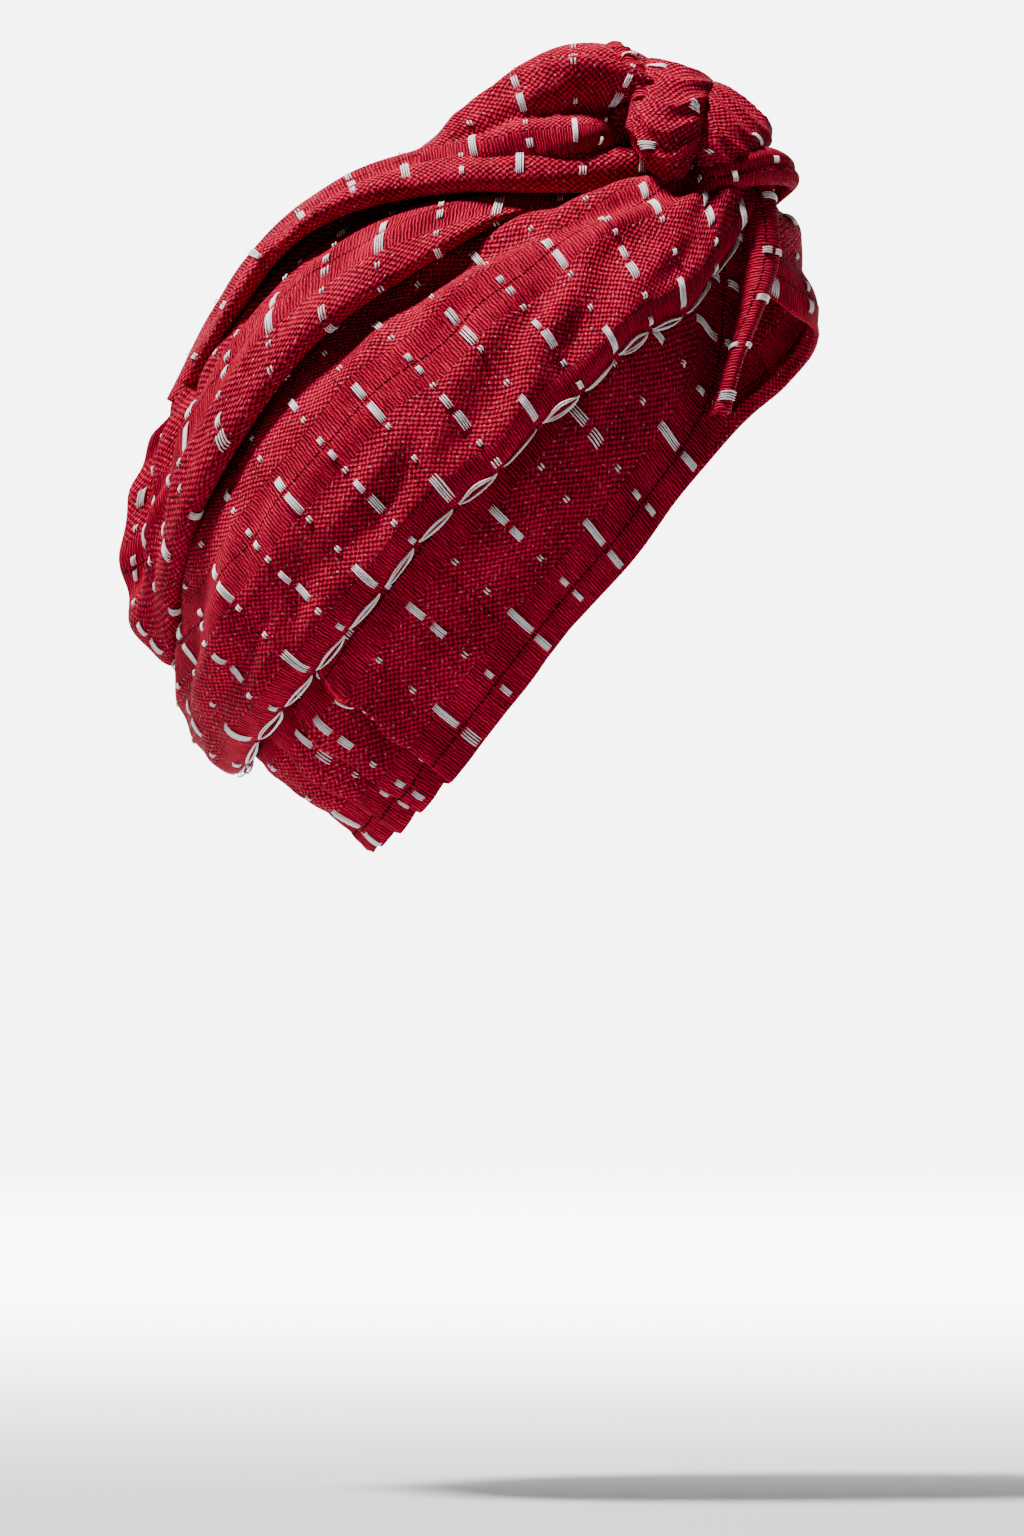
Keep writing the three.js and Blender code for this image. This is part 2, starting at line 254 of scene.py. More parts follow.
@dataclass(frozen=True)
class ClothFinish:
    """Finish of the crimson cloth: ribbed plain stripes, knotty specked stripes and drawn-thread lines, with
    painted shade in the weave's low places and painted highlights on its highest knots.
    """

    # A lit copy and a painted-shade copy of the crimson, mixed by the weave's height.
    lit: tuple[float, float, float, float] = (0.50, 0.002, 0.032, 1.0)
    painted_shade: tuple[float, float, float, float] = (0.045, 0.0003, 0.003, 1.0)
    # Painted highlight for the tops of the highest knots.
    tip: tuple[float, float, float, float] = (0.72, 0.020, 0.080, 1.0)
    speck: tuple[float, float, float, float] = (0.50, 0.16, 0.21, 1.0)
    roughness: float = 0.82
    speck_shine: float = 0.2
    specular: float = 0.05
    bump_height: float = 0.0011
    bump_strength: float = 0.85

    def build(self, name: str) -> bpy.types.Material:
        """Make the material.

        Args:
            name: The material's name.

        Returns:
            The material, which reads the piece's weave map.
        """
        paint = Paint(name)
        along, across = paint.cloth_place()
        wander = (self._noise(paint, along, across, WANDER) - 0.5) * WEAVE.wander
        along_w, across_w = along + wander, across + wander
        patch = self._noise(paint, along, across, PATCH)
        stripe_place = across_w.repeat(WEAVE.stripe)
        plain = 1.0 - stripe_place.soft(WEAVE.plain - WEAVE.stripe_blur, WEAVE.plain + WEAVE.stripe_blur)
        height = self._height(paint, (along, across), (along_w, across_w), plain)
        # Painted shade: the colour runs from the shaded copy to the lit copy as the weave rises, so its
        # pits, rib grooves and stitch lines are darker; the patch noise adds tone that differs at random.
        painted_light_and_tone = (height * 0.9 + patch * 0.35 - 0.42).soft(0.0, 0.9)
        colour = paint.mix(painted_light_and_tone, self.painted_shade, self.lit)
        # Painted highlight: the highest knots, and some patches, are mixed towards the pale highlight
        # colour.
        colour = paint.mix((height + patch * 0.5).soft(1.15, 1.75) * 0.7, colour, self.tip)
        speck = self._specks(paint, along_w, across_w) * (1.0 - plain)
        colour = paint.mix(speck, colour, self.speck)
        normal = paint.node("ShaderNodeBump", None, {
            "Height": height + speck * RELIEF.speck, "Strength": self.bump_strength,
            "Distance": self.bump_height})
        roughness = self.roughness - speck * self.speck_shine
        return paint.finish(colour, roughness, normal, Specular_IOR_Level=self.specular)

    def _height(self, paint: Paint, place_in_cloth: tuple[Value, Value], wandered: tuple[Value, Value],
                plain: Value) -> Value:
        """Return the weave's height, which drives the bump and also the painted shade and painted highlights
        of the colour.

        Args:
            paint: The material being built.
            place_in_cloth: Place along and across the stripes.
            wandered: The same place, with the yarns' small wandering.
            plain: 1 in the plain stripes, 0 in the rough ones.
        """
        along, across = place_in_cloth
        along_w, across_w = wandered
        stripe_place = across_w.repeat(WEAVE.stripe)
        streak = self._noise(paint, along, across, STREAK)
        fuzz = self._noise(paint, along, across, FUZZ)
        rib = along_w.wave(WEAVE.rib)
        up_along = along_w.wave(WEAVE.knot_along) * 2.0 - 1.0
        up_across = across_w.wave(WEAVE.knot_across) * 2.0 - 1.0
        checks = (up_along * up_across * 0.5 + 0.5).soft(0.15, 0.85)
        chance = self._chance(paint, along_w, across_w)
        basket = checks * (1.0 - RELIEF.basket_chance) + chance * RELIEF.basket_chance
        seam = self._near(stripe_place, WEAVE.seam, WEAVE.seam_width)
        seam = seam * along_w.wave(WEAVE.seam_stitch).soft(0.1, 0.55)
        edge = self._near(stripe_place, WEAVE.plain, WEAVE.line_width)
        edge = edge * along_w.wave(WEAVE.edge_stitch).soft(0.3, 0.8)
        cross = self._near(along.repeat(WEAVE.row), WEAVE.row / 2, WEAVE.line_width)
        cross = cross * across_w.wave(WEAVE.cross_stitch)
        smooth = plain * (rib * RELIEF.rib + streak * RELIEF.plain_streak)
        rough = (1.0 - plain) * (basket * RELIEF.basket + streak * RELIEF.rough_streak)
        return (smooth + rough + fuzz * RELIEF.fuzz - seam * RELIEF.seam - edge * RELIEF.edge
                - cross * RELIEF.cross)

    @staticmethod
    def _chance(paint: Paint, along: Value, across: Value) -> Value:
        """Return a number from 0 to 1 for each knot of the rough weave."""
        cell = paint.node("ShaderNodeCombineXYZ", None,
                          {0: along.cell(WEAVE.knot_along / 2), 1: across.cell(WEAVE.knot_across / 2)})
        return paint.node("ShaderNodeTexWhiteNoise", {"noise_dimensions": "2D"}, {"Vector": cell})

    @staticmethod
    def _noise(paint: Paint, along: Value, across: Value, grain: Grain) -> Value:
        """Return a noise over the cloth, from 0 to 1."""
        values = {0: along * grain.along, 1: across * grain.across}
        place_on_cloth = paint.node("ShaderNodeCombineXYZ", None, values)
        return paint.node("ShaderNodeTexNoise", {"noise_dimensions": "2D"},
                          {"Vector": place_on_cloth, "Scale": grain.scale, "Detail": grain.detail})

    @staticmethod
    def _near(place: Value, centre: float, width: float) -> Value:
        """Return 1 on a line at centre, fading to 0 at width from it."""
        low = place.soft(centre - width, centre)
        return low * (1.0 - place.soft(centre, centre + width))

    @staticmethod
    def _specks(paint: Paint, along: Value, across: Value) -> Value:
        """Return the mask of the small pale specks, which some cells of a grid have and some don't."""
        cell = paint.node("ShaderNodeCombineXYZ", None,
                          {0: along.cell(WEAVE.speck_along), 1: across.cell(WEAVE.speck_across)})
        chance = paint.node("ShaderNodeTexWhiteNoise", {"noise_dimensions": "2D"}, {"Vector": cell})
        left = along.repeat(WEAVE.speck_along) - WEAVE.speck_along / 2
        rise = across.repeat(WEAVE.speck_across) - WEAVE.speck_across / 2
        spread = left * left + rise * rise
        round_mask = 1.0 - spread.soft(WEAVE.speck ** 2 * 0.5, WEAVE.speck ** 2 * 1.3)
        return round_mask * (chance > WEAVE.speck_share)


@dataclass(frozen=True)
class YarnFinish:
    """Finish of a loose yarn: a pale or dark strand with fine lengthwise fibre streaks."""

    colour: tuple[float, float, float, float] = (0.93, 0.90, 0.91, 1.0)
    shade: tuple[float, float, float, float] = (0.70, 0.58, 0.62, 1.0)
    roughness: float = 0.55

    def build(self, name: str) -> bpy.types.Material:
        """Make the material.

        Args:
            name: The material's name.

        Returns:
            The material, which reads the strand's own map: along it and round it.
        """
        paint = Paint(name)
        along, around = paint.cloth_place()
        place = paint.node("ShaderNodeCombineXYZ", None, {0: along * 0.35, 1: around * 4.0})
        fibre = paint.node("ShaderNodeTexNoise", {"noise_dimensions": "2D"},
                           {"Vector": place, "Scale": 1.6, "Detail": 3.0})
        colour = paint.mix(fibre.soft(0.3, 0.62), self.shade, self.colour)
        normal = paint.node("ShaderNodeBump", None,
                            {"Height": fibre, "Strength": 0.5, "Distance": 0.0002})
        return paint.finish(colour, self.roughness, normal, Specular_IOR_Level=0.4)


# --------------------------------------------------------------------------- surfaces
def table_at(table: Array, position: Array) -> Array:
    """Return every column of a table at fractional rows, smoothly.

    Args:
        table: Rows of numbers.
        position: Fractional row numbers.

    Returns:
        One row for each position.
    """
    last = len(table) - 1
    start = np.minimum(np.floor(position).astype(int), last - 1)
    share = (position - start)[:, None]
    first, second = table[start], table[start + 1]
    before = np.where((start == 0)[:, None], second - first,
                      (second - table[np.maximum(start - 1, 0)]) / 2)
    after = np.where((start == last - 1)[:, None], second - first,
                     (table[np.minimum(start + 2, last)] - first) / 2)
    rise = second - first
    bend = 3 * rise - 2 * before - after
    twist = before + after - 2 * rise
    return first + share * (before + share * (bend + share * twist))


def place(columns: Array) -> Array:
    """Return points for columns of forward, up and side, in millimetres."""
    return np.stack([-columns[..., 2], -columns[..., 0], columns[..., 1]], axis=-1)


def unit(vectors: Array) -> Array:
    """Return the vectors at length 1."""
    return vectors / np.maximum(np.linalg.norm(vectors, axis=-1, keepdims=True), 1e-9)


def grid_normals(points: Array) -> Array:
    """Return the outward normal at each point of a grid."""
    along = np.gradient(points, axis=0)
    across = np.gradient(points, axis=1)
    return unit(np.cross(across, along))


def wrap_profile(share: Array) -> Array:
    """Return a wrap's height over its chord: full, and falling steeply at both edges."""
    away = np.where(share < CREST_AT, 1 - share / CREST_AT, (share - CREST_AT) / (1 - CREST_AT))
    return np.sqrt(np.maximum(0.0, 1 - away ** 2))


def flat_profile(share: Array) -> Array:
    """Return a band's height over its chord: a shallow bow."""
    return 4 * share * (1 - share)


def arch_profile(share: Array) -> Array:
    """Return a roll's height over its chord: half an ellipse."""
    return np.sqrt(np.maximum(0.0, 1 - (2 * share - 1) ** 2))


class Section(Enum):
    """The shape of a layer's section."""

    WRAP = "wrap"
    BAND = "band"
    ARCH = "arch"

    def profile(self, share: Array) -> Array:
        """Return the section's height over its chord at a share of its width."""
        shapes: dict[str, Callable[[Array], Array]] = {
            "wrap": wrap_profile, "band": flat_profile, "arch": arch_profile}
        return shapes[self.value](share)


@dataclass(frozen=True)
class Ridge:
    """A soft ridge, or a valley where its height is negative, along a line on a layer."""

    start: float
    start_across: float
    end: float
    end_across: float
    width: float
    height: float


def ridge_lift(ridges: Sequence[Ridge], position: Array, share: Array) -> Array:
    """Return the height that ridges add on a layer.

    Args:
        ridges: The ridges, in rows along the layer and shares of its width.
        position: Fractional rows, as a column.
        share: Shares of the width, as a row.

    Returns:
        Heights in millimetres.
    """
    lift = np.zeros(np.broadcast(position, share).shape)
    for ridge in ridges:
        run = ridge.end - ridge.start
        progress = np.clip((position - ridge.start) / run, 0.0, 1.0)
        centre = ridge.start_across + (ridge.end_across - ridge.start_across) * progress
        beyond = np.maximum(np.abs(position - (ridge.start + ridge.end) / 2) - abs(run) / 2, 0.0)
        swell = np.sin(math.pi * np.clip(progress, RIDGE_INSET, 1 - RIDGE_INSET))
        ease = np.exp(-(beyond / RIDGE_FADE) ** 2) * (RIDGE_END + (1 - RIDGE_END) * swell)
        lift = lift + ridge.height * ease * np.exp(-(((share - centre) / ridge.width) ** 2))
    return lift


@dataclass(frozen=True)
class Wrinkles:
    """Ranges of the small wrinkles' sizes, in millimetres, and how they are added up."""

    count: int = 14
    long_pitch: tuple[float, float] = (45.0, 150.0)
    short_pitch: tuple[float, float] = (11.0, 34.0)
    lean: tuple[float, float] = (-0.25, 0.25)
    swell_pitch: tuple[float, float] = (60.0, 140.0)
    swell_turn: tuple[float, float] = (0.0, 6.0)
    swell_share: float = 0.4
    usual_pitch: float = 25.0
    usual_sum: float = 3.0


WRINKLES = Wrinkles()


def ripples(along: Array, across: Array, seed: int, height: float) -> Array:
    """Return small wrinkles that run mostly along the cloth, from a fixed seed.

    Args:
        along: Millimetres along the weave.
        across: Millimetres across it.
        seed: Seed of the wrinkles.
        height: Their usual height in millimetres.

    Returns:
        Heights in millimetres.
    """
    draw = np.random.default_rng(seed)
    total = np.zeros_like(across)
    for _ in range(WRINKLES.count):
        long_pitch = draw.uniform(*WRINKLES.long_pitch)
        short_pitch = draw.uniform(*WRINKLES.short_pitch)
        lean = draw.uniform(*WRINKLES.lean)
        turn = draw.uniform(0.0, 2 * math.pi)
        wave = np.sin(2 * math.pi * (along / long_pitch + (across + lean * along) / short_pitch) + turn)
        swell_pitch = draw.uniform(*WRINKLES.swell_pitch)
        swell = np.sin(2 * math.pi * along / swell_pitch + draw.uniform(*WRINKLES.swell_turn))
        size = (1 - WRINKLES.swell_share + WRINKLES.swell_share * swell) * short_pitch
        total = total + wave * size / WRINKLES.usual_pitch
    return height * total / WRINKLES.usual_sum


def build_mesh(name: str, points: Array, faces: Array, uv: Array, material: bpy.types.Material,
               smooth: bool = True) -> bpy.types.Object:
    """Make an object from arrays.

    Args:
        name: The object's name.
        points: Vertices in millimetres.
        faces: Four vertex numbers a face.
        uv: Place in the cloth for each vertex, in millimetres.
        material: The finish.
        smooth: Whether the faces are shaded smooth.

    Returns:
        The linked object.
    """
    mesh = bpy.data.meshes.new(name)
    mesh.vertices.add(len(points))
    mesh.vertices.foreach_set("co", (points * MM).astype(np.float32).ravel())
    mesh.loops.add(faces.size)
    mesh.loops.foreach_set("vertex_index", faces.astype(np.int32).ravel())
    mesh.polygons.add(len(faces))
    mesh.polygons.foreach_set("loop_start", np.arange(0, faces.size, 4, dtype=np.int32))
    mesh.polygons.foreach_set("use_smooth", np.full(len(faces), smooth))
    layer = mesh.uv_layers.new(name="weave")
    layer.data.foreach_set("uv", (uv[faces.ravel()] * MM).astype(np.float32).ravel())
    mesh.update(calc_edges=True)
    mesh.validate()
    mesh.materials.append(material)
    made = bpy.data.objects.new(name, mesh)
    bpy.context.scene.collection.objects.link(made)
    return made


def grid_faces(rows: int, columns: int) -> Array:
    """Return the faces of a grid, outward for a grid whose normals are."""
    base = (np.arange(rows - 1)[:, None] * columns + np.arange(columns - 1)[None, :]).ravel()
    return np.stack([base, base + 1, base + columns + 1, base + columns], axis=1)


# --------------------------------------------------------------------------- layers of cloth
class Float(NamedTuple):
    """One white float of a row: which rows have it, and where it starts and ends across the cloth."""

    parity: int
    start: float
    end: float


EVEN = 0
ODD = 1

HEM_FLOATS = (
    Float(EVEN, 0.8, 8.4), Float(EVEN, 10.8, 22.8), Float(EVEN, 31.0, 33.6), Float(EVEN, 47.5, 50.0),
    Float(EVEN, 62.0, 69.0), Float(EVEN, 71.0, 82.0),
    Float(ODD, 3.0, 8.0), Float(ODD, 11.2, 15.2), Float(ODD, 24.0, 26.5), Float(ODD, 35.5, 42.0),
    Float(ODD, 44.3, 53.0), Float(ODD, 61.0, 64.0), Float(ODD, 73.0, 76.0),
)
WRAP_FLOATS = (
    Float(EVEN, 2.8, 14.6), Float(EVEN, 22.0, 24.5), Float(EVEN, 36.6, 39.1), Float(EVEN, 41.0, 50.8),
    Float(EVEN, 53.2, 60.0), Float(EVEN, 70.0, 72.5), Float(EVEN, 84.0, 86.5),
    Float(ODD, 2.0, 5.6), Float(ODD, 12.0, 14.5), Float(ODD, 20.0, 27.6), Float(ODD, 29.6, 35.4),
    Float(ODD, 39.6, 42.0), Float(ODD, 46.6, 50.6), Float(ODD, 53.6, 57.0), Float(ODD, 66.0, 68.5),
    Float(ODD, 74.0, 81.0),
)
MID_FLOATS = (
    Float(EVEN, -43.0, -37.0), Float(EVEN, -28.0, -25.5), Float(EVEN, -18.0, -15.5),
    Float(EVEN, -12.0, -1.3), Float(EVEN, 1.3, 8.0), Float(EVEN, 17.0, 19.5), Float(EVEN, 29.0, 31.5),
    Float(ODD, -35.0, -28.0), Float(ODD, -25.8, -20.0), Float(ODD, -14.5, -12.0), Float(ODD, -5.6, -1.3),
    Float(ODD, 1.3, 4.8), Float(ODD, 13.0, 15.5), Float(ODD, 22.0, 29.0),
)


@dataclass(frozen=True)
class Ribs:
    """A run of small folds across a layer, which hang in curves between its two edges."""

    first: float
    last: float
    count: float
    height: float
    sag: float = 0.0

    def lift(self, position: Array, share: Array) -> Array:
        """Return their height, in millimetres.

        Args:
            position: Fractional rows, as a column.
            share: Shares of the width, as a row.
        """
        middle = np.clip(1 - (2 * share - 1) ** 2, 0.0, 1.0)
        place_in_run = (position - self.first - self.sag * middle) / (self.last - self.first)
        fade = np.clip(np.minimum(place_in_run, 1 - place_in_run) * RIBS_FADE, 0.0, 1.0)
        wave = 1 - 2 * np.abs(np.sin(math.pi * self.count * place_in_run)) ** RIBS_SHARPNESS
        return self.height * fade * wave * (RIBS_AT_EDGE + (1 - RIBS_AT_EDGE) * middle)


@dataclass(frozen=True)
class Layer:
    """One layer of cloth: its sections, how it rounds at its edges, and how it lies in the weave."""

    name: str
    sections: Array
    section: Section
    flat: tuple[float, float]
    held: str
    rests_on: tuple[str, ...]
    rows: int = 240
    columns: int = 56
    low_roll: bool = True
    top_roll: bool = False
    least_roll: float = 0.0
    tuck: float = 6.0
    wall: float = 2.0
    ridges: tuple[Ridge, ...] = ()
    ribs: tuple[Ribs, ...] = ()
    crease: Optional[Callable[[Array, Array], Array]] = None
    lean: float = 0.0
    edge: Optional[Callable[[Array], Array]] = None
    wrinkle: float = 0.7
    seed: int = 1
    anchor: float = 0.0
    seam: float = 0.0
    floats: tuple[Float, ...] = ()
    first_row: float = 8.0
    chain: bool = False


class Sheet:
    """A layer worked out as a grid of points, with each point's place in the weave."""

    TURN = 9
    STEP = 0.02

    def __init__(self, layer: Layer) -> None:
        """Work out the grid.

        Args:
            layer: What the layer is.
        """
        self.layer = layer
        table = layer.sections
        self.position = np.linspace(0.0, len(table) - 1.0, layer.rows)
        self.share = self._stops()
        points = self._sections(table)
        normals = grid_normals(points)
        along, across = self._weave_places(points)
        height = ripples(along, across, layer.seed, layer.wrinkle) + self._folds()
        if layer.edge is not None:
            height = height + layer.edge(across)
        inside = np.clip(1.0 - 2.0 * np.maximum(-self.share, self.share - 1.0), 0.0, 1.0)
        self.points = points + normals * (height * inside[None, :])[..., None]
        self.normals = grid_normals(self.points)
        self.along, self.across = self._weave_places(self.points)

    def _stops(self) -> Array:
        """Return where a section is sampled: closely at its edges, and through the turned-under returns."""
        layer = self.layer
        even = np.linspace(0.0, 1.0, layer.columns)
        eased = even if layer.section is Section.BAND else 0.5 - 0.5 * np.cos(math.pi * even)
        turned = np.linspace(1.0, 0.0, self.TURN)[:-1]
        low = -turned if layer.low_roll else np.zeros(0)
        top = 1.0 + turned[::-1] if layer.top_roll else np.zeros(0)
        return np.concatenate([low, eased, top])

    def _sections(self, table: Array) -> Array:
        """Return the grid of points before small wrinkles are added."""
        layer = self.layer
        last = len(table) - 1.0
        row = table_at(table, self.position)
        ahead = table_at(table, np.minimum(self.position + self.STEP, last))
        behind = table_at(table, np.maximum(self.position - self.STEP, 0.0))
        low, top = place(row[:, 0:3]), place(row[:, 3:6])
        along = place(ahead[:, 0:3]) + place(ahead[:, 3:6]) - place(behind[:, 0:3]) - place(behind[:, 3:6])
        chord = top - low
        length = np.linalg.norm(chord, axis=1)
        out = unit(np.cross(chord, along))[:, None, :]
        rise = unit(chord)[:, None, :]
        radius = np.minimum(np.maximum(row[:, 7], layer.least_roll), length * MOST_ROLL)[:, None]
        tuck = np.minimum(layer.tuck, length * MOST_TUCK)[:, None]
        share = np.clip(self.share, 0.0, 1.0)[None, :]
        crease = layer.crease(self.position[:, None], share) if layer.crease is not None else 0.0 * share
        lift = row[:, 6:7] * layer.section.profile(share) + crease
        to_middle = np.tanh(LAP_SHARPNESS * (NAPE_MIDDLE - self.position))[:, None]
        lap = unit(along)[:, None, :] * (layer.lean * to_middle * crease)[..., None]
        depth = np.maximum(np.maximum(-self.share, self.share - 1.0), 0.0)[None, :]
        lift = np.where(depth > 0, 0.0, lift)
        inward = np.where(self.share < 0, 1.0, -1.0)[None, :]
        angle = np.minimum(depth, 0.5) * math.pi
        reach = radius * (1 - np.cos(angle)) + np.maximum(depth - 0.5, 0.0) * tuck
        lap = np.where(depth[..., None] > 0, 0.0, lap)
        points = low[:, None, :] + chord[:, None, :] * share[..., None] + out * lift[..., None] + lap
        return points + rise * (inward * reach)[..., None] - out * (radius * np.sin(angle))[..., None]

    def _folds(self) -> Array:
        """Return how far the layer's own folds stand out from its smooth surface."""
        position, share = self.position[:, None], np.clip(self.share, 0.0, 1.0)[None, :]
        lift = ridge_lift(self.layer.ridges, position, share)
        for run in self.layer.ribs:
            lift = lift + run.lift(position, share)
        return lift

    def _weave_places(self, points: Array) -> tuple[Array, Array]:
        """Return each point's place along and across the weave, from the lengths of the cloth itself."""
        anchor = int(np.argmin(np.abs(self.share - self.layer.anchor)))
        middle = int(np.argmin(np.abs(self.share - 0.5)))
        steps = np.linalg.norm(np.diff(points[:, middle], axis=0), axis=1)
        along = np.concatenate([[0.0], np.cumsum(steps)])
        widths = np.linalg.norm(np.diff(points, axis=1), axis=2)
        across = np.concatenate([np.zeros((len(points), 1)), np.cumsum(widths, axis=1)], axis=1)
        across = across - across[:, anchor:anchor + 1]
        return np.repeat(along[:, None], points.shape[1], axis=1), across

    def spot(self, along: float, across: Array) -> tuple[Array, Array]:
        """Return points on the cloth and the way out from it.

        Args:
            along: Millimetres along the weave.
            across: Millimetres across it, from the layer's anchor.

        Returns:
            Points, and outward directions.
        """
        row = float(np.interp(along, self.along[:, 0], np.arange(len(self.along))))
        start = min(int(row), len(self.along) - 2)
        share = row - start
        places = self.across[start] * (1 - share) + self.across[start + 1] * share
        column = np.interp(across, places, np.arange(len(places)))
        left = np.minimum(column.astype(int), len(places) - 2)
        rest = (column - left)[:, None]

        def blend(grid: Array) -> Array:
            """Return a grid's values between its four nearest points."""
            first = grid[start][left] * (1 - rest) + grid[start][left + 1] * rest
            second = grid[start + 1][left] * (1 - rest) + grid[start + 1][left + 1] * rest
            return first * (1 - share) + second * share

        return blend(self.points), unit(blend(self.normals))

    def limits(self, along: float) -> tuple[float, float]:
        """Return the cloth's edges across the weave at a place along it."""
        row = float(np.interp(along, self.along[:, 0], np.arange(len(self.along))))
        line = self.across[int(round(row))]
        return float(line[0]), float(line[-1])

    def build(self, finish: bpy.types.Material) -> bpy.types.Object:
        """Make the layer's mesh, a closed wall of cloth.

        Args:
            finish: The cloth's material.

        Returns:
            The object.
        """
        rows, columns = self.points.shape[:2]
        inner = self.points - self.normals * self.layer.wall
        points = np.concatenate([self.points.reshape(-1, 3), inner.reshape(-1, 3)])
        place_in_weave = np.stack([self.along, self.across + self.layer.seam], axis=-1).reshape(-1, 2)
        outer = grid_faces(rows, columns)
        faces = [outer, outer[:, ::-1] + rows * columns, self._rims(rows, columns)]
        made = build_mesh(self.layer.name + "_cloth", points, np.concatenate(faces),
                          np.concatenate([place_in_weave, place_in_weave]), finish)
        LOG.info("%s: along %.0f mm, across %.0f mm", self.layer.name, self.along[-1, 0],
                 float(np.mean(self.across[:, -1] - self.across[:, 0])))
        return made

    @staticmethod
    def _rims(rows: int, columns: int) -> Array:
        """Return the faces that close the wall at its four edges."""
        inner = rows * columns
        side = np.arange(rows - 1) * columns
        end = np.arange(columns - 1)
        far = side + columns - 1
        last = end + (rows - 1) * columns
        return np.concatenate([
            np.stack([side, side + columns, inner + side + columns, inner + side], axis=1),
            np.stack([far, inner + far, inner + far + columns, far + columns], axis=1),
            np.stack([end, inner + end, inner + end + 1, end + 1], axis=1),
            np.stack([last, last + 1, inner + last + 1, inner + last], axis=1),
        ])


# --------------------------------------------------------------------------- loose yarns
@dataclass(frozen=True)
class YarnSizes:
    """Sizes of the white floats, in millimetres."""

    width: float = 0.64
    height: float = 0.42
    spacing: float = 0.70
    pair_spacing: float = 1.15
    short: float = 3.0
    long: float = 6.0
    bow: float = 0.55
    under: float = 0.35
    steps: int = 7
    chain_steps: int = 11
    chain_gap: float = 1.6
    chain_open: float = 1.9
    chain_narrow: float = 0.45
    chain_across: float = 0.4
    chain_sides: tuple[float, ...] = (-1.0, -0.55, 0.6, 1.0)
    chain_spread: float = 0.40
    chain_lift: float = 0.6
    chain_stack: float = 0.12
    chain_width: float = 0.78
    short_width: float = 1.15
    margin: float = 0.8
    least: float = 1.4
    lean: float = 0.35
    loose: float = 0.35
    wander: float = 0.05
    row_shift: float = 0.5
    float_shift: float = 0.3
    end_gap: float = 2.0
    taper_from: float = 0.10
    taper: float = 0.45
    fibre_range: float = 90.0
    fibre_turn: float = 0.4


YARN = YarnSizes()


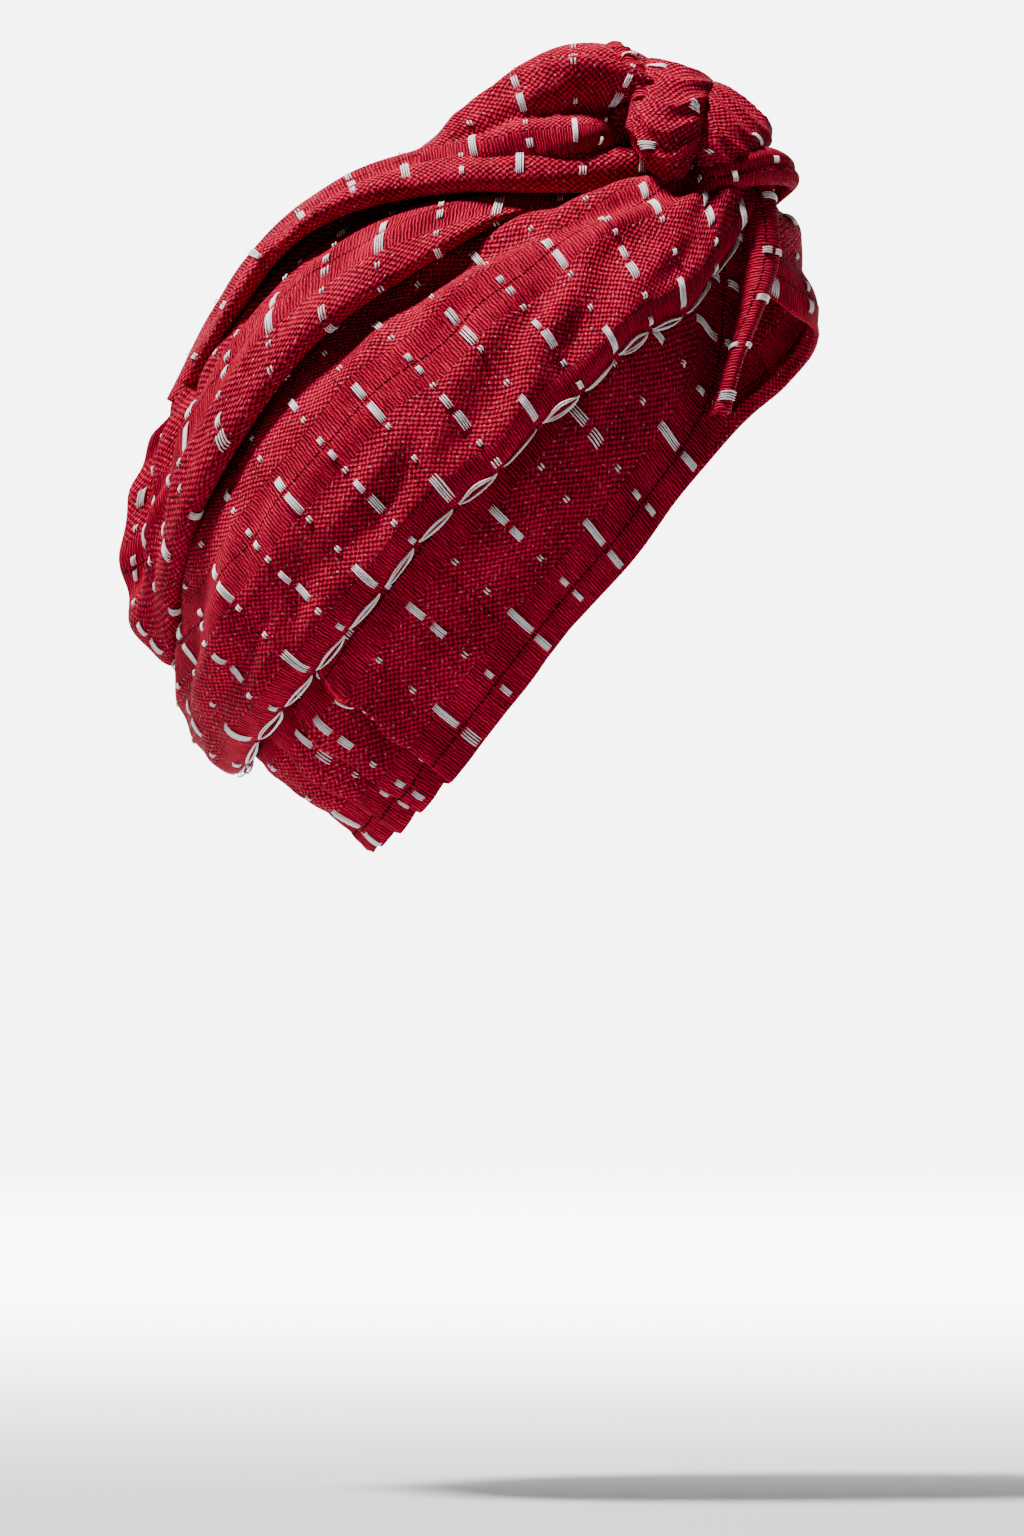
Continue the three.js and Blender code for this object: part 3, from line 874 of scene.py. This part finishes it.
class YarnBatch:
    """Strands of yarn, gathered to be one mesh."""

    RING = np.array([[-0.5, 0.0], [-0.2, 1.0], [0.2, 1.0], [0.5, 0.0], [0.0, -0.8]])

    def __init__(self, seed: int) -> None:
        """Start with no strands.

        Args:
            seed: Seed of the strands' small differences.
        """
        self.points: list[Array] = []
        self.faces: list[Array] = []
        self.places: list[Array] = []
        self.count = 0
        self.draw = np.random.default_rng(seed)

    def strand(self, path: Array, out: Array, width: float) -> None:
        """Add one strand.

        Args:
            path: Its line, in millimetres.
            out: The way out from the cloth at each point.
            width: Its width.
        """
        steps = len(path)
        forward = unit(np.gradient(path, axis=0))
        aside = unit(np.cross(forward, out))
        share = np.linspace(YARN.taper_from, 1 - YARN.taper_from, steps)
        taper = np.sin(math.pi * share) ** YARN.taper
        ring = self.RING[None, :, :] * np.stack([width * taper, YARN.height * taper], axis=1)[:, None, :]
        points = path[:, None, :] + aside[:, None, :] * ring[..., :1] + out[:, None, :] * ring[..., 1:]
        sides = len(self.RING)
        base = (np.arange(steps - 1)[:, None] * sides + np.arange(sides)[None, :])
        turn = (np.arange(steps - 1)[:, None] * sides + (np.arange(sides) + 1)[None, :] % sides)
        quads = np.stack([base, turn, turn + sides, base + sides], axis=-1).reshape(-1, 4)
        length = np.linspace(0.0, float(steps), steps) + self.draw.uniform(0, YARN.fibre_range)
        around = np.arange(sides) * YARN.fibre_turn
        places = np.stack(np.broadcast_arrays(length[:, None], around[None, :]), axis=-1)
        self.faces.append(quads + self.count)
        self.points.append(points.reshape(-1, 3))
        self.places.append(places.reshape(-1, 2))
        self.count += steps * sides

    def crossing(self, sheet: Sheet, along: float, start: float, end: float) -> None:
        """Lay a float across the cloth: a flat bundle of strands, or two short bars.

        Args:
            sheet: The cloth it lies on.
            along: Its place along the weave.
            start: Where it comes out of the cloth.
            end: Where it goes back in.
        """
        low, high = sheet.limits(along)
        start, end = max(start, low + YARN.margin), min(end, high - YARN.margin)
        if end - start < YARN.least:
            return
        short = end - start < YARN.short
        strands = 2 if short else 3 if end - start < YARN.long else 4
        spacing = YARN.pair_spacing if short else YARN.spacing
        lean = self.draw.normal(0.0, YARN.lean)
        open_up = 0.0 if short else max(0.0, self.draw.normal(0.0, YARN.loose))
        share = np.linspace(0.0, 1.0, YARN.steps)
        across = start + (end - start) * share
        bow = np.sin(math.pi * share)
        for number in range(strands):
            offset = (number - (strands - 1) / 2) * spacing
            wander = offset * (1 + open_up * self.draw.uniform(0.6, 1.4))
            wander = wander + self.draw.normal(0.0, YARN.wander)
            here, out = sheet.spot(along + wander + lean * 0.5, across)
            lift = YARN.bow * bow ** 0.5 * self.draw.uniform(0.8, 1.25) - YARN.under * (1 - bow) ** 4
            self.strand(here + out * lift[:, None], out, YARN.width * (YARN.short_width if short else 1.0))

    def chain(self, sheet: Sheet, start: float, end: float, across: float, opened: float) -> None:
        """Lay one link of the drawn chain along the cloth: strands that part in the middle.

        Args:
            sheet: The cloth it lies on.
            start: Where it starts along the weave.
            end: Where it ends.
            across: Its place across the weave.
            opened: How far its strands part.
        """
        share = np.linspace(0.0, 1.0, YARN.chain_steps)
        bow = np.sin(math.pi * share)
        for number, side in enumerate(YARN.chain_sides):
            spread = side * (YARN.chain_spread + opened * bow * self.draw.uniform(0.85, 1.15))
            spots = [sheet.spot(start + (end - start) * s, np.array([across + d]))
                     for s, d in zip(share, spread)]
            here = np.concatenate([spot[0] for spot in spots])
            out = np.concatenate([spot[1] for spot in spots])
            lift = YARN.chain_lift + YARN.bow * bow ** 0.6 + YARN.chain_stack * number
            lift = lift - YARN.under * (1 - bow) ** 4
            self.strand(here + out * lift[:, None], out, YARN.width * YARN.chain_width)

    def build(self, name: str, finish: bpy.types.Material) -> bpy.types.Object:
        """Make the one mesh of every strand.

        Args:
            name: The object's name.
            finish: The yarn's material.

        Returns:
            The object.
        """
        return build_mesh(name, np.concatenate(self.points), np.concatenate(self.faces),
                          np.concatenate(self.places), finish)


@dataclass(frozen=True)
class Finishes:
    """The materials that every piece shares."""

    cloth: bpy.types.Material
    yarn: bpy.types.Material


def lay_floats(sheet: Sheet) -> YarnBatch:
    """Lay a layer's rows of floats on it, and its chain if it has one.

    Args:
        sheet: The layer's cloth.

    Returns:
        The strands.
    """
    layer = sheet.layer
    batch = YarnBatch(layer.seed)
    length = float(sheet.along[-1, 0])
    count = int((length - layer.first_row - YARN.end_gap) // WEAVE.row) + 1
    for row in range(count):
        start = layer.first_row + row * WEAVE.row
        along = start + batch.draw.normal(0.0, YARN.row_shift)
        for one in layer.floats:
            if one.parity == row % 2:
                shift = batch.draw.normal(0.0, YARN.float_shift)
                batch.crossing(sheet, along, one.start + shift, one.end + shift)
        if layer.chain and row < count - 1:
            start += YARN.chain_gap
            opened = YARN.chain_open * (1.0 if row % 2 else YARN.chain_narrow)
            batch.chain(sheet, start, start + WEAVE.row - 2 * YARN.chain_gap, YARN.chain_across, opened)
    return batch


def dress(layer: Layer, finishes: Finishes) -> list[bpy.types.Object]:
    """Args:
        layer: What the layer is.
        finishes: The shared materials.

    Returns:
        The cloth, and its floats if it has them.
    """
    sheet = Sheet(layer)
    cloth = sheet.build(finishes.cloth)
    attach(cloth, "root")
    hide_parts(layer.name)
    made = [cloth]
    if layer.floats:
        yarns = lay_floats(sheet).build(layer.name + "_floats", finishes.yarn)
        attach(yarns, "root")
        made.append(yarns)
    LOG.info("built %s with %d pieces", layer.name, len(made))
    return made


# --------------------------------------------------------------------------- tables of the wound layers
# Columns: low edge forward, up, side; top edge forward, up, side; crown; roll, all in millimetres.
LOW_SIDE = 2
TOP_SIDE = 5
NAPE_MIDDLE = 7.0


def round_the_back(rows: Sequence[Sequence[float]]) -> Array:
    """Return the right half's rows, followed by the same rows on the left."""
    right = np.array(rows, float)
    left = right[:-1][::-1].copy()
    left[:, [LOW_SIDE, TOP_SIDE]] *= -LEFT_EASE
    return np.concatenate([right, left])


def over_the_top(rows: Sequence[Sequence[float]]) -> Array:
    """Return layer rows for a wrap over the crown, from rows of its right edge, crown and roll."""
    edge = np.array(rows, float)
    left = edge[:, :3] * np.array([1.0, 1.0, -LEFT_EASE])
    return np.concatenate([edge[:, :3], left, edge[:, 3:]], axis=1)


def rolled(name: str, sections: Sequence[Sequence[float]], flat: tuple[float, float], held: str,
           rests_on: str, **changes: Any) -> Layer:
    """Return a layer that is turned under at both of its edges.

    Args:
        name: The layer's name.
        sections: Its sections.
        flat: The size of its cloth laid flat, in metres.
        held: How the cloth is held.
        rests_on: The piece below it.
        **changes: Its other fields.
    """
    return Layer(name, np.array(sections, float), Section.ARCH, flat, held, (rests_on + "_cloth",),
                 top_roll=True, **changes)


def nape_pleats(position: Array, share: Array) -> Array:
    """Return the pleats gathered into the nape, each lapping the next towards the middle of the back."""
    first, pitch, depth, groove = 4.9, 0.42, 7.5, 1.6
    count = (NAPE_MIDDLE - first - np.abs(position - NAPE_MIDDLE)) / pitch
    phase = count - np.floor(count)
    turn, bulge, groove_width, top_fade = 0.86, 0.8, 0.19, 6
    saw = np.where(phase < turn, (phase / turn) ** bulge, (1 - phase) / (1 - turn))
    valley = np.exp(-(np.minimum(phase, 1 - phase) / groove_width) ** 2)
    saw = saw - groove * valley * (count > 0.5)
    fade = np.clip(count, 0.0, 1.0) * (1 - share ** top_fade)
    return np.where(count > 0, depth * fade * saw, 0.0)


def pinch_folds(position: Array, share: Array) -> Array:
    """Return the radial folds gathered into the pinch at the middle of the back."""
    middle, reach, folds, depth = 7.0, 2.2, 1.15, 7.0
    away = (position - middle) / reach
    wave = np.cos(2 * math.pi * folds * away * reach) - 1
    return np.where(np.abs(away) < 1, depth * 0.5 * wave * (1 - away ** 2) * np.sin(math.pi * share), 0.0)


def hem_fold(across: Array) -> Array:
    """Return the doubled hem's step and the dent of its stitch line, across the cloth."""
    stitch, doubled, dent, width, run_out, turned = 9.5, 0.7, 0.55, 0.9, 1.5, -2.0
    step = doubled * np.clip((stitch + run_out - across) / run_out, 0.0, 1.0) * (across > turned)
    return step - dent * np.exp(-((across - stitch) / width) ** 2)


@dataclass(frozen=True)
class SideBand:
    """The lowest wrap: a loop that hugs the head, with a stitched hem and pleats lapped at the nape."""

    seam: float = 1.0
    flat: tuple[float, float] = (0.076, 0.79)

    def build(self, finishes: Finishes) -> list[bpy.types.Object]:
        """Build and dress the band.

        Args:
            finishes: The shared materials.

        Returns:
            Its pieces.
        """
        rows = np.array([
            [54, 134, 20, 44, 138, 18, 1, 0], [54, 94, 36, 34, 109, 40, 1, 0],
            [45, 57, 56, 14, 93, 61, 2, 0], [18, 17, 62, -19, 64, 71, 3, 0],
            [-10, -15, 60, -58, 29, 74, 3, 0], [-42, -56, 52, -93, -13, 65, 3, 0],
            [-64, -77, 32, -113, -45, 39, 1, 0], [-75, -86, 0, -119, -57, 0, -3, 0],
            [-64, -77, -32, -113, -45, -39, 1, 0], [-42, -56, -52, -93, -13, -63, 3, 0],
            [-10, -15, -60, -58, 29, -71, 3, 0], [18, 17, -61, -19, 64, -69, 3, 0],
            [50, 58, -58, 16, 94, -60, 5, 0], [72, 78, -40, 42, 122, -45, 8, 0],
            [82, 94, -19, 60, 143, -22, 7, 0], [74, 101, 2, 60, 146, -2, 5, 0],
            [63, 108, 15, 57, 146, 9, 2, 0]], float)
        ridges = (
            Ridge(0.4, 0.55, 3.2, 0.10, 0.16, -2.2), Ridge(1.2, 0.95, 4.6, 0.55, 0.14, 2.4),
            Ridge(2.6, 0.30, 5.4, 0.62, 0.12, -1.8), Ridge(4.2, 0.92, 6.4, 0.60, 0.14, 3.0),
            Ridge(12.0, 0.30, 15.6, 0.46, 0.10, -3.0), Ridge(12.6, 0.68, 15.8, 0.70, 0.12, 2.6),
        )
        layer = Layer("side_band", rows, Section.BAND, self.flat, "stretched", (), rows=560, columns=44,
                      least_roll=1.5, tuck=8.0, wall=1.5, ridges=ridges, crease=nape_pleats, lean=0.85,
                      edge=hem_fold, wrinkle=0.75, seed=3, seam=self.seam, floats=HEM_FLOATS, first_row=6.0)
        return dress(layer, finishes)


@dataclass(frozen=True)
class WoundWraps:
    """The lower, middle and upper wraps, each a sausage of cloth laid over the one below it."""

    seam: float = 10.5
    lower_flat: tuple[float, float] = (0.088, 0.66)
    middle_flat: tuple[float, float] = (0.068, 0.66)
    upper_flat: tuple[float, float] = (0.095, 0.225)

    def build(self, finishes: Finishes) -> list[bpy.types.Object]:
        """Build and dress the three wraps.

        Args:
            finishes: The shared materials.

        Returns:
            Their pieces.
        """
        layers = (self._lower(), self._middle(), self._upper())
        return [piece for layer in layers for piece in dress(layer, finishes)]

    def _lower(self) -> Layer:
        """Return the lower wrap, with the drawn chain along its lower edge."""
        rows = round_the_back([
            [56, 134, 20, 57, 156, 10, 4, 3], [37, 104, 52, 24, 151, 26, 10, 3],
            [16, 88, 72, -14, 137, 38, 13, 3], [-17, 58, 82, -66, 115, 42, 14, 3],
            [-56, 22, 84, -105, 81, 46, 16, 3], [-92, -21, 75, -133, 34, 36, 17, 3],
            [-115, -48, 48, -138, 7, 19, 16, 3], [-123, -62, 0, -138, -13, 0, 16, 3]])
        ridges = (
            Ridge(0.6, 0.75, 4.6, 0.92, 0.10, -4.5), Ridge(1.2, 0.62, 5.2, 0.74, 0.12, 2.2),
            Ridge(2.2, 0.40, 5.6, 0.55, 0.16, 1.8), Ridge(3.4, 0.14, 6.4, 0.34, 0.10, -2.6),
            Ridge(4.8, 0.72, 6.8, 0.46, 0.10, -3.6), Ridge(5.2, 0.20, 6.9, 0.20, 0.09, -3.2),
            Ridge(7.4, 0.70, 10.6, 0.60, 0.12, -3.4), Ridge(8.4, 0.30, 12.6, 0.40, 0.12, -2.4),
        )
        return Layer("lower_wrap", rows, Section.WRAP, self.lower_flat, "gathered", ("side_band_cloth",),
                     rows=330, columns=64, wall=1.8, ridges=ridges, wrinkle=1.25, seed=11,
                     seam=self.seam, floats=WRAP_FLOATS, first_row=7.0, chain=True)

    def _middle(self) -> Layer:
        """Return the middle wrap, pinched at the middle of the back."""
        rows = round_the_back([
            [24, 136, 12, 22, 158, 3, 1, 2], [4, 136, 20, 0, 157, 4, 2, 3],
            [-27, 136, 42, -22, 150, 6, 2, 3.5],
            [-65, 115, 62, -54, 150, 4, 7, 4.5], [-105, 84, 65, -87, 138, 3, 9, 4.5],
            [-139, 34, 54, -106, 124, 3, 12, 4.5], [-147, 4, 31, -123, 98, 2, 17, 4],
            [-149, -24, 0, -136, 71, 0, 24, 3]])
        ridges = (
            Ridge(2.2, 0.30, 5.6, 0.34, 0.16, 2.4), Ridge(1.2, 0.62, 5.0, 0.70, 0.12, -2.0),
            Ridge(4.4, 0.56, 6.6, 0.30, 0.10, -3.6), Ridge(5.0, 0.22, 6.7, 0.14, 0.08, -2.6),
            Ridge(7.3, 0.24, 9.6, 0.40, 0.10, -3.4), Ridge(8.4, 0.60, 12.4, 0.56, 0.14, -2.2),
        )
        return Layer("middle_wrap", rows, Section.WRAP, self.middle_flat, "gathered", ("lower_wrap_cloth",),
                     rows=330, columns=60, wall=1.8, ridges=ridges, crease=pinch_folds, wrinkle=1.1, seed=17,
                     anchor=0.30, seam=self.seam, floats=MID_FLOATS, first_row=14.0)

    def _upper(self) -> Layer:
        """Return the upper wrap, which lies over the crown and stands proud at the back as a ledge."""
        rows = over_the_top([
            [28, 148, 24, 18, 3], [6, 147, 32, 22, 3.5], [-21, 147, 40, 22, 4], [-52, 147, 42, 14, 4.5],
            [-86, 140, 42, 8, 4.5], [-110, 126, 37, 5, 4.5], [-130, 99, 26, 5, 4], [-148, 69, 8, 3, 3]])
        ridges = (
            Ridge(0.6, 0.16, 5.8, 0.22, 0.07, -3.4), Ridge(0.8, 0.36, 5.4, 0.40, 0.08, 2.2),
            Ridge(1.0, 0.56, 5.6, 0.55, 0.07, -3.0), Ridge(0.6, 0.82, 5.8, 0.78, 0.07, -3.0),
        )
        return Layer("upper_wrap", rows, Section.ARCH, self.upper_flat, "gathered", ("middle_wrap_cloth",),
                     rows=170, columns=72, top_roll=True, tuck=3.0, wall=1.8, ridges=ridges, wrinkle=0.8,
                     seed=23, anchor=0.0, seam=self.seam + 24.0, floats=WRAP_FLOATS, first_row=9.0)


@dataclass(frozen=True)
class FrontRoll:
    """The hem rolled back on itself beside the wearer's temple, from the knot down to the flat hem."""

    flat: tuple[float, float] = (0.027, 0.105)

    def build(self, finishes: Finishes) -> list[bpy.types.Object]:
        """Build and dress the roll.

        Args:
            finishes: The shared materials.

        Returns:
            Its pieces.
        """
        rows = [
            [64, 151, 6, 56, 151, 8, 4, 2.5], [67, 137, 12, 56, 137, 17, 5, 3],
            [67, 118, 20, 54, 118, 28, 5, 3], [62, 103, 32, 53, 103, 38, 5, 3],
            [54, 83, 47, 48, 83, 50, 4, 2.5], [49, 64, 56, 42, 64, 60, 3, 2.5]]
        floats = (Float(EVEN, 1.0, 9.5), Float(ODD, 2.0, 6.0), Float(ODD, 8.0, 12.5))
        layer = rolled("front_roll", rows, self.flat, "folded", "side_band", rows=90, columns=26, tuck=2.0,
                       wall=1.4, wrinkle=0.35, seed=29, floats=floats, first_row=12.0)
        return dress(layer, finishes)


@dataclass(frozen=True)
class FrontKnot:
    """The knot over the brow: a hump, a pouch that hangs in front of it, a lobe, a rope and a tip."""

    hump_flat: tuple[float, float] = (0.095, 0.125)
    pouch_flat: tuple[float, float] = (0.045, 0.120)
    lobe_flat: tuple[float, float] = (0.032, 0.088)
    twist_flat: tuple[float, float] = (0.018, 0.052)
    tip_flat: tuple[float, float] = (0.026, 0.066)

    def build(self, finishes: Finishes) -> list[bpy.types.Object]:
        """Build and dress the knot's five folds.

        Args:
            finishes: The shared materials.

        Returns:
            Their pieces.
        """
        layers = (self._hump(), self._pouch(), self._lobe(), self._twist(), self._tip())
        return [piece for layer in layers for piece in dress(layer, finishes)]

    def _hump(self) -> Layer:
        """Return the hump, with two crests and a dimple between them."""
        rows = [
            [21, 153, 14, 18, 158, -20, 14, 3], [11, 155, 24, 10, 163, -24, 30, 3.5],
            [1, 158, 33, 1, 168, -28, 33, 4], [-16, 157, 36, -16, 167, -29, 28, 4],
            [-39, 153, 35, -39, 160, -27, 19, 3.5], [-60, 154, 24, -60, 154, -23, 6, 3]]
        ridges = (Ridge(0.5, 0.14, 4.2, 0.36, 0.06, 5.5), Ridge(0.7, 0.31, 4.2, 0.54, 0.07, -8.0),
                  Ridge(0.5, 0.04, 2.8, 0.10, 0.065, -10.0), Ridge(1.2, 0.62, 3.8, 0.68, 0.08, 3.0),
                  Ridge(2.6, 0.08, 4.7, 0.18, 0.05, -5.0))
        return rolled("knot_hump", rows, self.hump_flat, "gathered", "upper_wrap", rows=120, columns=80,
                      tuck=3.0, wall=1.8, ridges=ridges, wrinkle=0.7, seed=31, seam=12.0,
                      floats=WRAP_FLOATS, first_row=12.0)

    def _pouch(self) -> Layer:
        """Return the pouch, whose folds hang in curves between its two rims."""
        rows = [
            [42, 156, -26, 16, 158, -28, 7, 3], [45, 175, -16, 15, 183, -18, 7, 3],
            [45, 182, 4, 15, 190, 2, 5, 3], [42, 174, 20, 16, 181, 20, 8, 3],
            [40, 163, 28, 13, 167, 27, 11, 3], [37, 154, 30, 18, 156, 27, 10, 3],
            [33, 149, 27, 26, 150, 26, 6, 2.5]]
        ribs = (Ribs(0.9, 5.9, 8.0, 1.15, 0.85),)
        floats = (Float(ODD, 6.0, 12.0), Float(EVEN, 20.0, 28.0))
        return rolled("knot_pouch", rows, self.pouch_flat, "gathered", "knot_hump", rows=150, columns=44,
                      tuck=5.0, wall=1.6, ribs=ribs, wrinkle=0.45, seed=37, seam=18.0, floats=floats,
                      first_row=24.0)

    def _lobe(self) -> Layer:
        """Return the lobe in front of the pouch, ribbed by the pull of the tip."""
        rows = [
            [59, 150, -22, 46, 156, -26, 6, 2.5], [62, 163, -12, 42, 178, -13, 6, 2.5],
            [65, 162, 1, 41, 183, 3, 6, 2.5], [60, 156, 14, 40, 175, 20, 6, 2.5],
            [52, 152, 20, 38, 163, 27, 6, 2.5], [45, 149, 21, 38, 153, 27, 3, 2.5]]
        ribs = (Ribs(0.6, 4.9, 8.0, 0.8, 0.35),)
        floats = (Float(EVEN, 5.0, 11.0), Float(ODD, 14.0, 17.0))
        return rolled("knot_lobe", rows, self.lobe_flat, "gathered", "knot_pouch", rows=110, columns=32,
                      tuck=3.0, wall=1.4, ribs=ribs, wrinkle=0.35, seed=41, seam=14.0, floats=floats,
                      first_row=18.0)

    def _twist(self) -> Layer:
        """Return the rope of twisted cloth between the hump and the pouch."""
        rows = [
            [10, 190, -12, 2, 191, -12, 4, 2], [14, 194, 0, 5, 195, -1, 4, 2],
            [19, 190, 11, 10, 188, 10, 5, 2], [21, 183, 20, 13, 181, 19, 5, 2],
            [22, 176, 27, 15, 174, 26, 4, 2]]
        ribs = (Ribs(0.2, 3.8, 7.0, 0.7, 0.30),)
        return rolled("knot_twist", rows, self.twist_flat, "folded", "knot_hump", rows=90, columns=24,
                      tuck=2.0, wall=1.3, ribs=ribs, wrinkle=0.3, seed=43,
                      floats=(Float(EVEN, 3.0, 9.0),), first_row=30.0)

    def _tip(self) -> Layer:
        """Return the tip, a roll that crosses in front of the lobe and ends over the brow."""
        rows = [
            [65, 139, -15, 62, 151, -15, 5, 2.5], [73, 146, 0, 69, 157, 0, 4, 2.5],
            [66, 147, 14, 61, 160, 11, 5, 2.5], [53, 145, 23, 50, 157, 21, 5, 2.5],
            [41, 143, 28, 38, 152, 27, 3, 2.5]]
        ridges = (Ridge(0.6, 0.5, 3.6, 0.4, 0.14, -1.4),)
        floats = (Float(EVEN, 4.0, 8.5), Float(ODD, 9.0, 12.0))
        return rolled("knot_tip", rows, self.tip_flat, "folded", "knot_lobe", rows=100, columns=28,
                      tuck=3.0, wall=1.4, ridges=ridges, wrinkle=0.35, seed=47, seam=4.0, floats=floats,
                      first_row=14.0)


# --------------------------------------------------------------------------- studio
@dataclass(frozen=True)
class Lamp:
    """One soft area light."""

    name: str
    place: tuple[float, float, float]
    size: float
    power: float
    aim: tuple[float, float, float] = (0.0, 0.0, 0.05)


@dataclass(frozen=True)
class Studio:
    """The pale floor and backdrop, the lights and the camera."""

    floor: float = -0.32
    width: float = 8.0
    near: float = -1.0
    far: float = 4.1
    bend: float = 1.2
    height: float = 5.0
    pale: tuple[float, float, float, float] = (0.62, 0.62, 0.625, 1.0)
    bend_steps: int = 25
    roughness: float = 0.9
    world: float = 0.05
    camera_place: tuple[float, float, float] = (-5.0, 0.0275, -0.061)
    frame_height: float = 0.5486
    sensor: float = 36.0
    lamps: tuple[Lamp, ...] = (
        Lamp("key", (-0.28, 0.85, 2.40), 0.34, 200.0),
        Lamp("fill", (-2.4, -1.4, 0.6), 1.6, 0.3),
        Lamp("backdrop", (2.3, 0.0, 1.9), 2.6, 1150.0, aim=(4.6, 0.0, -0.5)),
    )

    def build(self) -> None:
        """Build the backdrop, lights and camera."""
        self._backdrop()
        self._world()
        for lamp in self.lamps:
            self._lamp(lamp)
        self._camera()

    def _backdrop(self) -> None:
        """Make the floor and the backdrop behind it, one sheet with a wide bend."""
        turn = np.linspace(0.0, math.pi / 2, self.bend_steps)
        bend_x = self.far + self.bend * np.sin(turn)
        bend_z = self.floor + self.bend * (1 - np.cos(turn))
        line = [(self.near, self.floor), *zip(bend_x, bend_z), (self.far + self.bend, self.height)]
        points = np.array([[x, side, z] for x, z in line for side in (self.width, -self.width)]) / MM
        paint = Paint("studio_pale")
        floor = build_mesh("studio_floor", points, grid_faces(len(line), 2),
                           np.zeros((len(points), 2)), paint.finish(self.pale, self.roughness))

    def _world(self) -> None:
        """Light the scene evenly and weakly from all round."""
        world = bpy.data.worlds.new("studio_world")
        world.use_nodes = True
        world.node_tree.nodes["Background"].inputs["Strength"].default_value = self.world
        world.node_tree.nodes["Background"].inputs["Color"].default_value = (1.0, 1.0, 1.0, 1.0)
        bpy.context.scene.world = world

    def _lamp(self, lamp: Lamp) -> None:
        """Make one light, turned to the object.

        Args:
            lamp: What the light is.
        """
        data = bpy.data.lights.new(lamp.name, "AREA")
        data.energy = lamp.power
        data.size = lamp.size
        made = bpy.data.objects.new(lamp.name, data)
        made.location = lamp.place
        made.rotation_euler = (Vector(lamp.aim) - Vector(lamp.place)).to_track_quat("-Z", "Y").to_euler()
        bpy.context.scene.collection.objects.link(made)

    def _camera(self) -> None:
        """Make the level camera, which looks at the wearer's right side."""
        data = bpy.data.cameras.new("camera")
        data.sensor_fit = "VERTICAL"
        data.sensor_height = self.sensor
        data.lens = self.sensor * abs(self.camera_place[0]) / self.frame_height
        made = bpy.data.objects.new("camera", data)
        made.location = self.camera_place
        made.rotation_euler = (math.pi / 2, 0.0, -math.pi / 2)
        bpy.context.scene.collection.objects.link(made)
        bpy.context.scene.camera = made


def main() -> None:
    """Build the headwrap piece by piece, then the studio round it."""
    logging.basicConfig(level=logging.INFO, format="%(message)s")
    finishes = Finishes(ClothFinish().build("crimson_cloth"), YarnFinish().build("white_yarn"))
    for assembly in (SideBand(), WoundWraps(), FrontRoll(), FrontKnot()):
        pieces = assembly.build(finishes)
        LOG.info("%s: %s", type(assembly).__name__, ", ".join(piece.name for piece in pieces))
    Studio().build()


if __name__ == "__main__":
    main()
